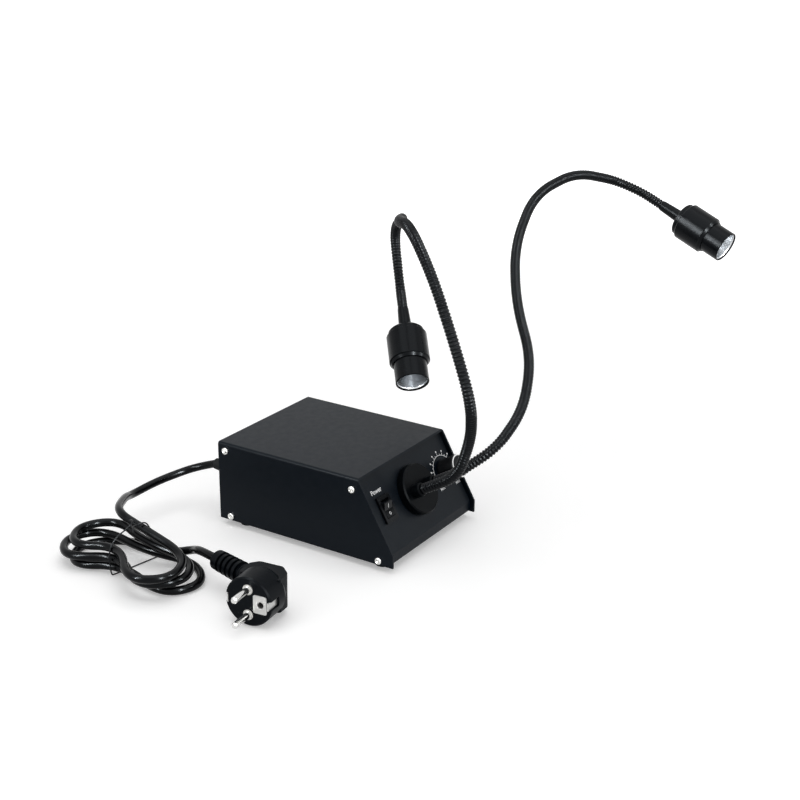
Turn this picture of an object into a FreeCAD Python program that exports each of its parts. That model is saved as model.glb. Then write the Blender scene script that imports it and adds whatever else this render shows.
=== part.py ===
"""Twin gooseneck bench light: a sheet-metal power box with a switch and a dimmer on its sloping front,
two flexible arms with lamp heads, and a mains lead tied up in a hank beside it.

Millimetres, +Z up. X runs across the box, the sloping front faces -Y, and the origin is on the
table under the middle of the box."""
import FreeCAD
import Part
import Sketcher
import math
import os

Vector = FreeCAD.Vector
Rotation = FreeCAD.Rotation
Placement = FreeCAD.Placement

# Driving sizes, in millimetres and degrees
SIZES = {
    "box_width": 120.0,
    "box_length": 162.0,
    "box_height": 64.5,
    "nose_height": 10.0,
    "front_angle": 60.0,
    "sheet": 1.5,
    "bend_radius": 2.2,
    "panel_recess": 3.4,
    "rear_recess": 1.0,
    "cover_play": 0.25,
    "flange_width": 14.0,
    "foot_height": 5.0,
    "foot_dia": 14.0,
    "foot_inset_side": 12.0,
    "foot_inset_front": 16.4,
    "foot_inset_rear": 18.0,
    "screw_dia": 2.9,
    "screw_head_dia": 5.6,
    "screw_head_height": 1.9,
    "screw_length": 5.0,
    "thread_play": 0.05,
    "clearance_hole": 3.4,
    "screw_rear_inset": 7.2,
    "screw_rear_low_inset": 10.8,
    "screw_top_drop": 6.4,
    "screw_low_rise": 3.5,
    "screw_front_drop": 9.2,
    "screw_front_back": 10.0,
    "screw_nose_back": 12.5,
    "control_drop": 30.5,
    "hub_dia": 40.0,
    "hub_thickness": 7.0,
    "hub_chamfer": 1.0,
    "socket_spacing": 18.0,
    "socket_dia": 10.6,
    "socket_length": 8.0,
    "socket_thread_dia": 8.0,
    "socket_play": 0.1,
    "socket_nut_width": 13.0,
    "socket_nut_height": 4.0,
    "arm_dia": 8.0,
    "knob_inset": 16.4,
    "knob_dia": 19.4,
    "knob_height": 15.6,
    "knob_gap": 1.2,
    "knob_wall": 2.2,
    "knob_ring_width": 1.0,
    "knob_ring_height": 0.8,
    "shaft_dia": 6.0,
    "shaft_play": 0.04,
    "bushing_dia": 7.0,
    "bushing_length": 6.0,
    "pot_dia": 17.0,
    "pot_depth": 9.0,
    "pot_nut_width": 10.0,
    "pot_nut_height": 2.0,
    "switch_inset": 20.0,
    "switch_width": 15.0,
    "switch_height": 21.0,
    "switch_bezel": 2.0,
    "switch_body_width": 13.0,
    "switch_body_height": 18.8,
    "switch_body_depth": 13.0,
    "switch_wall": 1.4,
    "rocker_play": 0.25,
    "rocker_tilt": 12.0,
    "rocker_pivot_depth": 3.0,
    "rocker_pin_dia": 2.4,
    "head_cap_dia": 28.6,
    "head_cap_length": 4.5,
    "head_body_dia": 32.4,
    "head_body_length": 24.0,
    "head_step": 2.7,
    "head_tube_dia": 26.6,
    "head_tube_length": 16.8,
    "head_tube_wall": 0.9,
    "ferrule_length": 21.0,
    "ferrule_dia": 10.8,
    "reflector_mouth": 24.7,
    "reflector_throat": 9.0,
    "reflector_wall": 0.5,
    "led_board_dia": 20.0,
    "led_board_thickness": 1.6,
    "led_dome_dia": 5.0,
    "gland_inset": 22.0,
    "gland_z": 38.0,
    "gland_hole": 11.0,
    "gland_length": 22.0,
    "cord_dia": 6.4,
    "cord_layer": 7.6,
    "tie_wire": 1.4,
    "plug_dia": 37.0,
    "plug_depth": 22.0,
    "plug_pin_dia": 4.8,
    "plug_pin_length": 19.0,
    "plug_pin_spacing": 19.0,
    "plug_relief_back": 26.0,
    "board_width": 84.0,
    "board_length": 92.0,
    "board_thickness": 1.6,
    "standoff_height": 6.0,
    "standoff_width": 6.0,
}

doc = FreeCAD.newDocument("twin_arm_bench_light")
sheet = doc.addObject("Spreadsheet::Sheet", "Sizes")
for row, (alias, value) in enumerate(SIZES.items(), start=1):
    sheet.set(f"A{row}", alias)
    sheet.set(f"B{row}", str(value))
    sheet.setAlias(f"B{row}", alias)
doc.recompute()


def size(alias):
    """A driving size, read from the sheet."""
    return float(sheet.get(alias))


def bind(feature, **expressions):
    """Ties properties of a feature to cells of the sheet."""
    for name, expression in expressions.items():
        feature.setExpression(name, expression)


parts = []


def keep(feature, label):
    """Names a finished sub-part, which also names its file."""
    feature.Label = label
    parts.append((label, feature))
    return feature


# Outlines
def offset_path(points, distance):
    """The same open path, moved to its left by a distance, with its corners still sharp."""
    lines = []
    for (ax, ay), (bx, by) in zip(points, points[1:]):
        length = math.hypot(bx - ax, by - ay)
        nx, ny = -(by - ay) / length, (bx - ax) / length
        lines.append(((ax + nx * distance, ay + ny * distance), (bx + nx * distance, by + ny * distance)))
    moved = [lines[0][0]]
    for (a, b), (c, d) in zip(lines, lines[1:]):
        moved.append(crossing(a, b, c, d))
    moved.append(lines[-1][1])
    return moved


def crossing(a, b, c, d):
    """Where the line through a and b meets the line through c and d."""
    ux, uy = b[0] - a[0], b[1] - a[1]
    vx, vy = d[0] - c[0], d[1] - c[1]
    share = ((c[0] - a[0]) * vy - (c[1] - a[1]) * vx) / (ux * vy - uy * vx)
    return (a[0] + ux * share, a[1] + uy * share)


def outline(points, radii=None):
    """Lines and arcs of a closed outline, with each corner rounded to its own radius."""
    count = len(points)
    radii = radii or [0.0] * count
    ends = []
    for i, (x, y) in enumerate(points):
        corner = Vector(x, y, 0)
        before = (Vector(*points[i - 1], 0) - corner).normalize()
        after = (Vector(*points[(i + 1) % count], 0) - corner).normalize()
        if radii[i] <= 0:
            ends.append((corner, None, corner))
            continue
        half = before.getAngle(after) / 2
        reach = radii[i] / math.tan(half)
        middle = corner + (before + after).normalize() * (radii[i] / math.sin(half) - radii[i])
        ends.append((corner + before * reach, middle, corner + after * reach))
    edges = []
    for i, (start, middle, stop) in enumerate(ends):
        if middle:
            edges.append(Part.Arc(start, middle, stop))
        following = ends[(i + 1) % count][0]
        if stop.distanceToPoint(following) > 1e-6:
            edges.append(Part.LineSegment(stop, following))
    return edges


def rectangle(x, y, width, height, radius=0.0):
    """A rectangle about a centre."""
    corners = [(x - width / 2, y - height / 2), (x + width / 2, y - height / 2),
               (x + width / 2, y + height / 2), (x - width / 2, y + height / 2)]
    return outline(corners, [radius] * 4)


def circle(x, y, diameter):
    return Part.Circle(Vector(x, y, 0), Vector(0, 0, 1), diameter / 2)


def hexagon(x, y, width):
    """A hexagon of a width across its flats."""
    reach = width / math.sqrt(3)
    return outline([(x + reach * math.cos(math.radians(60 * k)), y + reach * math.sin(math.radians(60 * k)))
                    for k in range(6)])


# Features
def new_body(label):
    return keep(doc.addObject("PartDesign::Body", label), label)


def origin_plane(body, role):
    return next(item for item in body.Origin.OriginFeatures if item.Role == role)


def sketch_on(body, role, edges, offset=Placement()):
    """A sketch on one of the body's own origin planes, moved in that plane's own axes."""
    drawn = body.newObject("Sketcher::SketchObject", "Sketch")
    drawn.AttachmentSupport = [(origin_plane(body, role), "")]
    drawn.MapMode = "FlatFace"
    drawn.AttachmentOffset = offset
    for edge in edges:
        drawn.addGeometry(edge, False)
    doc.recompute()
    return drawn


def pad(body, drawn, length=None, expression=None, both_ways=False, reverse=False):
    feature = body.newObject("PartDesign::Pad", "Pad")
    feature.Profile = drawn
    if expression:
        bind(feature, Length=expression)
    else:
        feature.Length = length
    feature.Midplane = both_ways
    feature.Reversed = reverse
    doc.recompute()
    return feature


def pocket(body, drawn, length=None, expression=None, both_ways=True, reverse=False):
    """A cut, which has to take something away."""
    before = body.Shape.Volume
    feature = body.newObject("PartDesign::Pocket", "Pocket")
    feature.Profile = drawn
    if expression:
        bind(feature, Length=expression)
    else:
        feature.Length = length
    feature.Midplane = both_ways
    feature.Reversed = reverse
    doc.recompute()
    if body.Shape.Volume > before - 1e-4:
        raise RuntimeError(f"{body.Label}: a pocket cut nothing")
    return feature


def revolution(body, drawn):
    feature = body.newObject("PartDesign::Revolution", "Revolution")
    feature.Profile = drawn
    feature.ReferenceAxis = (drawn, ["V_Axis"])
    feature.Angle = 360.0
    doc.recompute()
    return feature


def round_edges(body, chosen, expression):
    """Fillets the edges of the body that a test picks."""
    tip = body.Tip
    names = [f"Edge{i}" for i, edge in enumerate(tip.Shape.Edges, start=1) if chosen(edge)]
    feature = body.newObject("PartDesign::Fillet", "Fillet")
    feature.Base = (tip, names)
    bind(feature, Radius=expression)
    doc.recompute()
    return feature


def turned(label, profile, placement=Placement(), radii=None):
    """A turned piece from its half section, given as (radius, height) points, about local Z."""
    body = new_body(label)
    revolution(body, sketch_on(body, "XZ_Plane", outline(profile, radii)))
    body.Placement = placement
    return body


def turned_solid(profile, placement=Placement()):
    """The same for a piece that is repeated in a group."""
    points = [Vector(r, 0, z) for r, z in profile]
    face = Part.Face(Part.makePolygon(points + points[:1]))
    solid = face.revolve(Vector(0, 0, 0), Vector(0, 0, 1), 360)
    return solid.transformed(placement.toMatrix())


def prism_solid(edges, height, placement=Placement()):
    """A straight solid over a flat outline, with any further outlines as holes."""
    wires = [Part.Wire(Part.__sortEdges__([edge.toShape() for edge in loop])) for loop in edges]
    solid = Part.makeFace(wires, "Part::FaceMakerBullseye").extrude(Vector(0, 0, height))
    return solid.transformed(placement.toMatrix())


def group(label, solids):
    """Like pieces that share one node as separate solids, or one solid that is built directly."""
    feature = doc.addObject("Part::Feature", label)
    feature.Shape = solids[0] if len(solids) == 1 else Part.makeCompound(solids)
    return keep(feature, label)


def aim(point, direction, roll=0.0):
    """Puts local Z along a direction."""
    return Placement(Vector(*point), Rotation(Vector(0, 0, 1), Vector(*direction)) * Rotation(Vector(0, 0, 1), roll))


# Box: side outline of the cover and of the folded chassis, as (y, z)
half_length = size("box_length") / 2
floor_z = size("foot_height")
roof_z = floor_z + size("box_height")
nose_z = floor_z + size("nose_height")
front_angle = math.radians(size("front_angle"))
roof_front_y = -half_length + (roof_z - nose_z) / math.tan(front_angle)
slope_out = Vector(0, -math.sin(front_angle), math.cos(front_angle))
slope_down = Vector(0, -math.cos(front_angle), -math.sin(front_angle))
sheet_metal = size("sheet")
bend = size("bend_radius")
inner_bend = bend - sheet_metal

cover_profile = [(half_length, floor_z), (half_length, roof_z), (roof_front_y, roof_z),
                 (-half_length, nose_z), (-half_length, floor_z)]


def panel_point(x, drop, out=0.0):
    """A point of the sloping panel: across, down from the cover's front edge, and out of the sheet."""
    edge = Vector(x, roof_front_y, roof_z)
    return edge + slope_down * drop + slope_out * (out - size("panel_recess"))


def panel_placement(x, drop, out=0.0):
    """Local X across, local Y up the slope, local Z out of the panel."""
    return Placement(panel_point(x, drop, out), Rotation(Vector(1, 0, 0), size("front_angle")))


panel_turn = Rotation(Vector(1, 0, 0), size("front_angle") - 90)


def panel_sketch(body, edges, out=0.0):
    """A sketch in the plane of the panel, whose origin is the middle of the row of controls."""
    middle = panel_point(0, size("control_drop"), out)
    return sketch_on(body, "XZ_Plane", edges, Placement(Vector(middle.x, middle.z, -middle.y), panel_turn))


# Screw places on the box sides, as (y, z)
side_screws = [
    (half_length - size("screw_rear_inset"), roof_z - size("screw_top_drop")),
    (half_length - size("screw_rear_low_inset"), floor_z + size("screw_low_rise")),
    (roof_front_y - size("screw_front_drop") / math.tan(front_angle) + size("screw_front_back"),
     roof_z - size("screw_front_drop")),
    (-half_length + size("screw_nose_back"), floor_z + size("screw_low_rise")),
]

# Places of the switch, the dimmer and the cord's bushing, each from its own side of the box
switch_x = size("switch_inset") - size("box_width") / 2
knob_x = size("box_width") / 2 - size("knob_inset")
gland_x = size("gland_inset") - size("box_width") / 2

# Feet, as (x, y)
foot_x = size("box_width") / 2 - size("foot_inset_side")
feet_places = [(sx * foot_x, y) for sx in (-1, 1)
               for y in (-half_length + size("foot_inset_front"), half_length - size("foot_inset_rear"))]

# Board posts, as (x, y)
board_middle_y = 12.0
post_inset = 5.0
posts = [(sx * (size("board_width") / 2 - post_inset), board_middle_y + sy * (size("board_length") / 2 - post_inset))
         for sx in (-1, 1) for sy in (-1, 1)]

# Chassis: one folded sheet that makes the top flange, panel, nose, bottom, rear wall and rear flange
flange_z = roof_z - sheet_metal - size("cover_play")
panel_top = panel_point(0, 0)
panel_line = ((panel_top.y, panel_top.z), (panel_top.y + slope_down.y, panel_top.z + slope_down.z))
nose_y = -half_length + size("panel_recess")
rear_y = half_length - size("rear_recess")
flange_line = ((0.0, flange_z), (1.0, flange_z))
top_corner = crossing(*flange_line, *panel_line)
nose_corner = crossing((nose_y, 0.0), (nose_y, 1.0), *panel_line)
chassis_path = [(top_corner[0] + size("flange_width"), flange_z), top_corner, nose_corner, (nose_y, floor_z),
                (rear_y, floor_z), (rear_y, flange_z), (rear_y - size("flange_width"), flange_z)]
inner_path = offset_path(chassis_path, sheet_metal)
corner_count = len(chassis_path) - 2
chassis_outline = outline(
    chassis_path + inner_path[::-1],
    [0.0] + [bend] * corner_count + [0.0, 0.0] + [inner_bend] * corner_count + [0.0])
inner_width = size("box_width") - 2 * sheet_metal - 2 * size("cover_play")

chassis = new_body("base_chassis")
pad(chassis, sketch_on(chassis, "YZ_Plane", chassis_outline), both_ways=True,
    expression="Sizes.box_width - 2 * Sizes.sheet - 2 * Sizes.cover_play")

middle_path = offset_path(chassis_path, sheet_metal / 2)
deep_path = offset_path(chassis_path, size("flange_width"))
front_flange = [middle_path[1], middle_path[2], middle_path[3], (deep_path[3][0], middle_path[3][1]),
                deep_path[2], crossing(middle_path[0], middle_path[1], deep_path[1], deep_path[2])]
rear_flange = [middle_path[4], middle_path[5], (rear_y - size("flange_width"), middle_path[5][1]),
               (rear_y - size("flange_width"), middle_path[4][1])]
for side in (-1, 1):
    offset = Placement(Vector(0, 0, side * inner_width / 2), Rotation())
    for strip in (front_flange, rear_flange):
        pad(chassis, sketch_on(chassis, "YZ_Plane", outline(strip), offset), expression="Sizes.sheet",
            reverse=side > 0)

thread_hole = size("screw_dia") + 2 * size("thread_play")
pocket(chassis, sketch_on(chassis, "YZ_Plane", [circle(y, z, thread_hole) for y, z in side_screws]),
       expression="Sizes.box_width * 2")

panel_cuts = rectangle(switch_x, 0, size("switch_body_width") + 0.3, size("switch_body_height") + 0.3)
panel_cuts.append(circle(knob_x, 0, size("bushing_dia") + 0.2))
for side in (-1, 1):
    panel_cuts.append(circle(side * size("socket_spacing") / 2, 0, size("socket_thread_dia") + 0.3))
pocket(chassis, panel_sketch(chassis, panel_cuts), expression="Sizes.sheet * 4")
pocket(chassis, sketch_on(chassis, "XZ_Plane", [circle(gland_x, size("gland_z"), size("gland_hole"))],
                          Placement(Vector(0, 0, -rear_y), Rotation())), expression="Sizes.sheet * 4")
pocket(chassis, sketch_on(chassis, "XY_Plane", [circle(x, y, thread_hole) for x, y in feet_places + posts],
                          Placement(Vector(0, 0, floor_z), Rotation())), expression="Sizes.sheet * 4")

# Top cover: a sheet folded over the top and both sides, open in front, behind and below
cover = new_body("top_cover")
pad(cover, sketch_on(cover, "YZ_Plane", outline(cover_profile)), both_ways=True, expression="Sizes.box_width")
round_edges(cover, lambda edge: abs(edge.BoundBox.YLength - (half_length - roof_front_y)) < 1e-3
            and edge.BoundBox.ZMin > roof_z - 1e-3, "Sizes.bend_radius")
cover_inside = size("box_width") / 2 - sheet_metal
pocket(cover, sketch_on(cover, "XZ_Plane", outline(
    [(-cover_inside, -floor_z), (cover_inside, -floor_z), (cover_inside, roof_z - sheet_metal),
     (-cover_inside, roof_z - sheet_metal)], [0.0, 0.0, inner_bend, inner_bend])),
       expression="Sizes.box_length * 2")
pocket(cover, sketch_on(cover, "YZ_Plane", [circle(y, z, size("clearance_hole")) for y, z in side_screws]),
       expression="Sizes.box_width * 2")


def pan_screw(placement, length):
    """A pan head screw whose head stands on local Z = 0."""
    head = size("screw_head_dia") / 2
    tall = size("screw_head_height")
    shank = size("screw_dia") / 2
    profile = [(0, -length), (shank, -length), (shank, 0), (head, 0), (head, tall * 0.45),
               (head * 0.8, tall * 0.85), (head * 0.45, tall), (0, tall)]
    return turned_solid(profile, placement)


cover_screws = []
for side in (-1, 1):
    for y, z in side_screws:
        cover_screws.append(pan_screw(aim((side * size("box_width") / 2, y, z), (side, 0, 0)), size("screw_length")))
group("cover_screws", cover_screws)

# Rubber feet, each with a recess for the screw that holds it to the bottom
foot = size("foot_dia") / 2
foot_recess = 2.6
rubber = []
foot_bolts = []
for x, y in feet_places:
    bore = size("clearance_hole") / 2
    recess = size("screw_head_dia") / 2 + 0.4
    profile = [(bore, foot_recess), (recess, foot_recess), (recess, 0), (foot - 1.2, 0), (foot, floor_z),
               (bore, floor_z)]
    rubber.append(turned_solid(profile, Placement(Vector(x, y, 0), Rotation())))
    foot_bolts.append(pan_screw(aim((x, y, foot_recess), (0, 0, -1)), floor_z - foot_recess + 3.5))
group("rubber_feet", rubber)
group("foot_screws", foot_bolts)

# Hub: a black disc on the panel that both arms come out of
hub = new_body("arm_hub")
pad(hub, panel_sketch(hub, [circle(0, 0, size("hub_dia"))]), expression="Sizes.hub_thickness")
rim = hub.Tip
hub_chamfer = hub.newObject("PartDesign::Chamfer", "Chamfer")
hub_front = panel_point(0, size("control_drop"), size("hub_thickness"))
hub_chamfer.Base = (rim, [f"Edge{i}" for i, edge in enumerate(rim.Shape.Edges, start=1)
                          if edge.Closed and abs((edge.CenterOfMass - hub_front).dot(slope_out)) < 1e-3])
bind(hub_chamfer, Size="Sizes.hub_chamfer")
doc.recompute()
pocket(hub, panel_sketch(hub, [circle(side * size("socket_spacing") / 2, 0, size("socket_thread_dia")
                                      + 2 * size("socket_play")) for side in (-1, 1)]),
       expression="Sizes.hub_thickness * 4")

# Sockets: a collar on the hub and a threaded stem through hub and panel, with a nut behind
stem_length = size("hub_thickness") + sheet_metal + size("socket_nut_height") + 1.5
collar = size("socket_dia") / 2
stem = size("socket_thread_dia") / 2
nuts = []
for name, side in (("left", -1), ("right", 1)):
    seat = panel_placement(side * size("socket_spacing") / 2, size("control_drop"), size("hub_thickness"))
    turned(f"{name}_arm_socket", [(0, -stem_length), (stem, -stem_length), (stem, 0), (collar, 0),
                                  (collar, size("socket_length") - 1.2), (collar - 0.8, size("socket_length")),
                                  (0, size("socket_length"))], seat)
    behind = panel_placement(side * size("socket_spacing") / 2, size("control_drop"),
                             -sheet_metal - size("socket_nut_height"))
    nuts.append(prism_solid([hexagon(0, 0, size("socket_nut_width")),
                             [circle(0, 0, size("socket_thread_dia") + 2 * size("thread_play"))]],
                            size("socket_nut_height"), behind))
group("arm_nuts", nuts)


# Routes: straight runs joined by tangent arcs
def route_arcs(points):
    """Start, middle, end and radius of the arc at each inner point of a route."""
    arcs = []
    for a, b, c in zip(points, points[1:], points[2:]):
        back = a - b
        ahead = c - b
        reach = 0.45 * min(back.Length, ahead.Length)
        turn = math.pi - back.getAngle(ahead)
        radius = reach / math.tan(turn / 2)
        back.normalize()
        ahead.normalize()
        middle = b + (back + ahead).normalize() * (radius / math.cos(turn / 2) - radius)
        arcs.append((b + back * reach, middle, b + ahead * reach, radius, turn))
    return arcs


def route_wire(points, first=0, last=None):
    """The path through some of a route's inner points, from half way along a run to half way along another."""
    arcs = route_arcs(points)
    last = len(arcs) - 1 if last is None else last
    at = points[0] if first == 0 else (points[first] + points[first + 1]) * 0.5
    finish = points[-1] if last == len(arcs) - 1 else (points[last + 1] + points[last + 2]) * 0.5
    edges = []
    for start, middle, stop, _, _ in arcs[first:last + 1]:
        edges.append(Part.LineSegment(at, start).toShape())
        edges.append(Part.Arc(start, middle, stop).toShape())
        at = stop
    edges.append(Part.LineSegment(at, finish).toShape())
    return Part.Wire(edges)


def tube(wire, diameter, sides=0):
    """A solid tube along a path, round or with a number of flat sides of the same section area."""
    start = wire.Edges[0].Vertexes[0].Point
    ahead = wire.Edges[0].tangentAt(wire.Edges[0].FirstParameter)
    if sides:
        reach = diameter / 2 * math.sqrt(2 * math.pi / (sides * math.sin(2 * math.pi / sides)))
        frame = Placement(start, Rotation(Vector(0, 0, 1), ahead))
        ring = [frame.multVec(Vector(reach * math.cos(2 * math.pi * k / sides),
                                     reach * math.sin(2 * math.pi * k / sides), 0)) for k in range(sides)]
        section = Part.makePolygon(ring + ring[:1])
    else:
        section = Part.Wire(Part.Circle(start, ahead, diameter / 2).toShape())
    solid = wire.makePipeShell([section], True, False)
    expected = math.pi * diameter ** 2 / 4 * wire.Length
    if abs(solid.Volume / expected - 1) > 0.01:
        raise RuntimeError(f"a tube's volume is off: {solid.Volume:.0f} for {expected:.0f}")
    return solid


def print_route(label, points):
    arcs = route_arcs(points)
    print(label, "length", round(route_wire(points).Length, 1), "radii", [round(arc[3]) for arc in arcs],
          "turns", [round(math.degrees(arc[4])) for arc in arcs])


# Arms: points of each centreline, from the socket's mouth to the ferrule at the lamp head
arm_start = {side: panel_point(sign * size("socket_spacing") / 2, size("control_drop"),
                               size("hub_thickness") + size("socket_length"))
             for side, sign in (("left", -1), ("right", 1))}
arm_points = {
    "left": [(-13, -118, 103), (-39, -132, 137), (-37, -116, 180), (-23, -89, 220), (-4, -57, 250),
             (30, -25, 242), (72, -4, 238), (96, 23, 212)],
    "right": [(27, -117, 79), (67, -120, 98), (100, -107, 127), (130, -74, 160), (166, -52, 197),
              (212, -43, 229), (265, -55, 242), (304, -79, 229)],
}
head_axis = {"left": Vector(-0.586, -0.511, -0.629).normalize(),
             "right": Vector(-0.124, -0.919, -0.374).normalize()}
ferrule_start = {"left": Vector(86, 5, 152), "right": Vector(311, -119, 210)}
first_run = {"left": 34.0, "right": 22.0}
last_run = {"left": 28.0, "right": 23.0}
span_bend_counts = {"lower": 3, "middle": 4, "upper": 3}
for name in ("left", "right"):
    start = arm_start[name]
    finish = ferrule_start[name]
    route = [start, start + slope_out * first_run[name]]
    route += [Vector(*point) for point in arm_points[name]]
    route += [finish - head_axis[name] * last_run[name], finish]
    print_route(f"{name} arm", route)
    first = 0
    for span, bend_count in span_bend_counts.items():
        group(f"{name}_arm_{span}", [tube(route_wire(route, first, first + bend_count - 1), size("arm_dia"))])
        first += bend_count

# Lamp heads: turned pieces stacked along the head's axis, from the ferrule to the front tube
cap_r = size("head_cap_dia") / 2
body_r = size("head_body_dia") / 2
tube_r = size("head_tube_dia") / 2
tube_in = tube_r - size("head_tube_wall")
cap_end = size("head_cap_length")
body_end = cap_end + size("head_body_length")
step_end = body_end + size("head_step")
mouth = step_end + size("head_tube_length")
ferrule_r = size("ferrule_dia") / 2
spigot_r = ferrule_r - 1.4
spigot = 6.0
shelf = cap_end + 7.0
board_top = shelf + size("led_board_thickness")
for name in ("left", "right"):
    rear = ferrule_start[name] + head_axis[name] * size("ferrule_length")
    place = aim(rear, head_axis[name])
    arm_r = size("arm_dia") / 2
    turned(f"{name}_head_ferrule", [(0, -size("ferrule_length")), (arm_r + 0.5, -size("ferrule_length")),
                                    (ferrule_r, 0), (spigot_r, 0), (spigot_r, spigot), (0, spigot)], place)
    turned(f"{name}_rear_cap", [(spigot_r + size("socket_play"), 0), (cap_r - 1.0, 0), (cap_r, 1.0),
                                (cap_r, cap_end), (cap_r - 3.0, cap_end), (cap_r - 3.0, cap_end + 3.0),
                                (spigot_r + size("socket_play"), cap_end + 3.0)], place)
    bore = cap_r - 3.0 + size("socket_play")
    turned(f"{name}_lamp_body", [(bore, cap_end), (body_r - 0.6, cap_end), (body_r, cap_end + 0.6),
                                 (body_r, body_end), (body_r - 0.8, body_end + 0.5), (tube_r + 0.9, step_end),
                                 (tube_r, step_end), (tube_r, board_top + 1.5), (bore, board_top + 1.5),
                                 (bore, shelf), (spigot_r + 1.5, shelf), (spigot_r + 1.5, shelf - 2.5),
                                 (bore, shelf - 2.5)], place)
    turned(f"{name}_front_tube", [(tube_in, board_top + 1.5), (tube_r - 0.1, board_top + 1.5), (tube_r - 0.1, step_end),
                                  (tube_r, step_end), (tube_r, mouth - 0.3), (tube_r - 0.3, mouth),
                                  (tube_in, mouth)], place)
    throat = size("reflector_throat") / 2
    mouth_r = size("reflector_mouth") / 2
    skin = size("reflector_wall")
    turned(f"{name}_reflector", [(throat, board_top), (mouth_r - skin, step_end - 4.0),
                                 (mouth_r - skin, mouth - 1.2), (mouth_r, mouth - 1.2), (mouth_r, step_end - 4.0),
                                 (throat + skin, board_top)], place)
    turned(f"{name}_led_board", [(0, shelf), (size("led_board_dia") / 2, shelf),
                                 (size("led_board_dia") / 2, board_top), (0, board_top)], place)
    dome = size("led_dome_dia") / 2
    turned(f"{name}_led_lens", [(0, board_top), (dome + 0.8, board_top), (dome + 0.8, board_top + 0.8),
                                (dome, board_top + 0.8), (dome * 0.87, board_top + 0.8 + dome * 0.5),
                                (dome * 0.5, board_top + 0.8 + dome * 0.87), (0, board_top + 0.8 + dome)], place)

# Dimmer: a potentiometer behind the panel, held by a nut, with a knob on its shaft
pot_seat = panel_placement(knob_x, size("control_drop"))
bushing_r = size("bushing_dia") / 2
shaft_r = size("shaft_dia") / 2
shaft_hole = shaft_r + size("shaft_play")
pot_r = size("pot_dia") / 2
pot_front = -sheet_metal
knob_back = size("knob_gap")
knob_front = knob_back + size("knob_height")
nut_top = size("pot_nut_height")
shaft_top = knob_front - 3.0
turned("dimmer_body", [(shaft_hole, pot_front - size("pot_depth") + 2.0), (0, pot_front - size("pot_depth") + 2.0),
                       (0, pot_front - size("pot_depth")), (pot_r, pot_front - size("pot_depth")),
                       (pot_r, pot_front), (bushing_r, pot_front), (bushing_r, size("bushing_length") + pot_front),
                       (shaft_hole, size("bushing_length") + pot_front)], pot_seat)
turned("dimmer_shaft", [(0, pot_front - size("pot_depth") + 2.1), (shaft_r, pot_front - size("pot_depth") + 2.1),
                        (shaft_r, shaft_top), (0, shaft_top)], pot_seat)
group("dimmer_nut", [prism_solid([hexagon(0, 0, size("pot_nut_width")),
                                  [circle(0, 0, size("bushing_dia") + 2 * size("thread_play"))]],
                                 size("pot_nut_height"), pot_seat)])
knob_r = size("knob_dia") / 2
skirt_in = knob_r - size("knob_wall")
knob_floor = max(size("bushing_length") + pot_front + 0.6, nut_top + 0.6)
ring_r = knob_r - 0.3
ring_in = ring_r - size("knob_ring_width")
ring_back = knob_front - size("knob_ring_height")
turned("knob", [(shaft_r, knob_floor), (skirt_in, knob_floor), (skirt_in, knob_back), (knob_r, knob_back),
                (knob_r, ring_back - 0.4), (ring_r, ring_back - 0.1), (ring_in, ring_back - 0.1),
                (ring_in, knob_front), (0, knob_front), (0, shaft_top), (shaft_r, shaft_top)], pot_seat)
turned("knob_ring", [(ring_in, ring_back - 0.1), (ring_r, ring_back - 0.1), (ring_r, knob_front),
                     (ring_in, knob_front)], pot_seat)

# Mains switch: a frame that snaps into the panel and a rocker that tips about a cross pin
frame = new_body("switch_frame")
pad(frame, panel_sketch(frame, rectangle(switch_x, 0, size("switch_width"), size("switch_height"), 0.8)),
    expression="Sizes.switch_bezel")
pad(frame, panel_sketch(frame, rectangle(switch_x, 0, size("switch_body_width"),
                                         size("switch_body_height"), 0.4)),
    expression="Sizes.switch_body_depth", reverse=True)
well_width = size("switch_body_width") - 2 * size("switch_wall")
well_height = size("switch_body_height") - 2 * size("switch_wall") - 1.6
well_depth = 9.0
pocket(frame, panel_sketch(frame, rectangle(switch_x, 0, well_width, well_height, 0.3),
                           size("switch_bezel")), length=size("switch_bezel") + well_depth, both_ways=False)
pivot_out = -size("rocker_pivot_depth")
pivot = panel_point(switch_x, size("control_drop"), pivot_out)
pocket(frame, sketch_on(frame, "YZ_Plane", [circle(pivot.y, pivot.z, size("rocker_pin_dia") + 0.1)],
                        Placement(Vector(0, 0, switch_x), Rotation())),
       length=size("switch_body_width") + 2)

# The rocker's ends flare toward the pin, so that they just clear the frame at both ends of the travel
rocker_end = well_height / 2 - 0.2
rocker_tip = rocker_end - 1.05
face_out = size("switch_bezel") + 1.6 - pivot_out
rocker_profile = [(-rocker_end, 0), (-rocker_tip + 1.0, -2.6), (0, -3.6), (rocker_tip - 1.0, -2.6), (rocker_end, 0),
                  (rocker_tip, face_out - 0.7), (rocker_tip - 0.5, face_out), (0, face_out - 1.6),
                  (-rocker_tip + 0.5, face_out), (-rocker_tip, face_out - 0.7)]
rocker_width = well_width - 2 * size("rocker_play")
rocker = new_body("switch_rocker")
pad(rocker, sketch_on(rocker, "YZ_Plane", outline(rocker_profile)), length=rocker_width, both_ways=True)
pad(rocker, sketch_on(rocker, "YZ_Plane", [circle(0, 0, size("rocker_pin_dia"))]), both_ways=True,
    expression="Sizes.switch_body_width - 1")
rocker.Placement = Placement(pivot, Rotation(Vector(1, 0, 0), size("front_angle"))
                             * Rotation(Vector(1, 0, 0), size("rocker_tilt")))
blade_width = 4.8
blade_length = 8.0
blades = []
for drop in (-5.0, 5.0):
    base = panel_placement(switch_x, size("control_drop") - drop, -size("switch_body_depth") - blade_length)
    blades.append(prism_solid([rectangle(0, 0, blade_width, 0.8)], blade_length, base))
group("switch_terminals", blades)
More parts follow.
